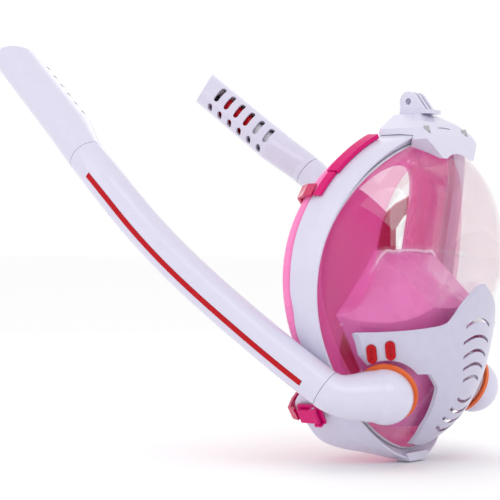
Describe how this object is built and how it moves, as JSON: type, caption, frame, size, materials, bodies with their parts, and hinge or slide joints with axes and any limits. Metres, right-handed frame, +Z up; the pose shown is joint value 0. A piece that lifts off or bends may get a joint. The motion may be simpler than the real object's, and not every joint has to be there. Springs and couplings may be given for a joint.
{
  "type": "full face snorkel mask",
  "caption": "Full-face snorkel mask: egg-shaped frame, bulging clear visor, silicone skirt and nose cup, slotted muzzle cover, camera mount and paired swivelling dry-top snorkels.",
  "frame": {"origin": "middle of the face-seal opening, on the mid-plane, level with the forehead and chin lips", "axes": "+X to the wearer's left, -Y the way the wearer looks, +Y the way the head leaves, +Z up"},
  "size_m": [0.3222, 0.3756, 0.3248],
  "materials": {
    "shell": "gloss",
    "visor": "polished",
    "silicone": "satin",
    "cup_silicone": "satin",
    "magenta": "gloss",
    "clip": "gloss",
    "cover": "satin",
    "red": "gloss",
    "orange": "satin",
    "flap": "satin",
    "dark_seal": "satin",
    "seat_plastic": "satin",
    "steel": "satin"
  },
  "bodies": {
    "mask": {"bracket_screws": "steel", "buckle_base_l": "clip", "buckle_base_r": "clip", "buckle_pin_l": "steel", "buckle_pin_r": "steel", "camera_mount": "shell", "cup_valve_seat_l": "seat_plastic", "cup_valve_seat_r": "seat_plastic", "exhaust_seat": "seat_plastic", "frame_ring": "shell", "head_harness": "magenta", "hub_o_ring_l": "dark_seal", "hub_o_ring_r": "dark_seal", "hub_retainer_l": "seat_plastic", "hub_retainer_r": "seat_plastic", "inner_shroud": "silicone", "lens_gasket": "dark_seal", "muzzle_cover": "cover", "orinasal_cup": "cup_silicone", "port_seal_l": "orange", "port_seal_r": "orange", "port_socket_l": "seat_plastic", "port_socket_r": "seat_plastic", "silicone_skirt": "silicone", "strap_clip_l": "clip", "strap_clip_r": "clip", "strap_loop_l": "clip", "strap_loop_r": "clip", "top_bracket": "shell", "vent_inlays_l": "red", "vent_inlays_r": "red", "visor_lens": "visor"},
    "snorkel_r": {"elbow_r": "shell", "snorkel_tube_r": "shell", "tube_stripe_r": "red", "snorkel_head_r": "shell", "float_cage_r": "seat_plastic"},
    "float_r": {"float_body_r": "seat_plastic", "float_seal_r": "red"},
    "inlet_flap_r": {"inlet_flap_r": "flap"},
    "cup_flap_r": {"cup_valve_flap_r": "flap"},
    "lever_r": {"buckle_lever_r": "clip"},
    "snorkel_l": {"elbow_l": "shell", "snorkel_tube_l": "shell", "tube_stripe_l": "red", "snorkel_head_l": "shell", "float_cage_l": "seat_plastic"},
    "float_l": {"float_body_l": "seat_plastic", "float_seal_l": "red"},
    "inlet_flap_l": {"inlet_flap_l": "flap"},
    "cup_flap_l": {"cup_valve_flap_l": "flap"},
    "lever_l": {"buckle_lever_l": "clip"},
    "exhaust_flap": {"exhaust_flap": "flap"}
  },
  "joints": [
    {"name": "snorkel_swivel_r", "type": "hinge", "parent": "mask", "child": "snorkel_r", "pos_m": [-0.0626, -0.033, -0.078], "axis": [-0.8678, -0.3092, -0.389], "range_deg": [-4, 4]},
    {"name": "float_slide_r", "type": "slide", "parent": "snorkel_r", "child": "float_r", "axis": [0.1604, 0.7668, 0.6215], "range_m": [0, 0.0082]},
    {"name": "inlet_flap_lift_r", "type": "slide", "parent": "mask", "child": "inlet_flap_r", "axis": [0.8678, 0.3092, 0.389], "range_m": [0, 0.0015], "stiffness_N_per_m": 10},
    {"name": "cup_flap_lift_r", "type": "slide", "parent": "mask", "child": "cup_flap_r", "axis": [0.8678, 0.3092, 0.389], "range_m": [0, 0.0014], "stiffness_N_per_m": 10},
    {"name": "buckle_lever_r", "type": "hinge", "parent": "mask", "child": "lever_r", "pos_m": [-0.0802, 0.01579, -0.09418], "axis": [0.557, 0, -0.8305], "range_deg": [-55, 0]},
    {"name": "snorkel_swivel_l", "type": "hinge", "parent": "mask", "child": "snorkel_l", "pos_m": [0.0626, -0.033, -0.078], "axis": [-0.8678, 0.3092, 0.389], "range_deg": [-4, 4]},
    {"name": "float_slide_l", "type": "slide", "parent": "snorkel_l", "child": "float_l", "axis": [-0.1604, 0.7668, 0.6215], "range_m": [0, 0.0082]},
    {"name": "inlet_flap_lift_l", "type": "slide", "parent": "mask", "child": "inlet_flap_l", "axis": [-0.8678, 0.3092, 0.389], "range_m": [0, 0.0015], "stiffness_N_per_m": 10},
    {"name": "cup_flap_lift_l", "type": "slide", "parent": "mask", "child": "cup_flap_l", "axis": [-0.8678, 0.3092, 0.389], "range_m": [0, 0.0014], "stiffness_N_per_m": 10},
    {"name": "buckle_lever_l", "type": "hinge", "parent": "mask", "child": "lever_l", "pos_m": [0.0802, 0.01579, -0.09418], "axis": [0.557, 0, 0.8305], "range_deg": [-55, 0]},
    {"name": "exhaust_flap_lift", "type": "slide", "parent": "mask", "child": "exhaust_flap", "axis": [0, -0.829, -0.5593], "range_m": [0, 0.0014], "stiffness_N_per_m": 10}
  ]
}
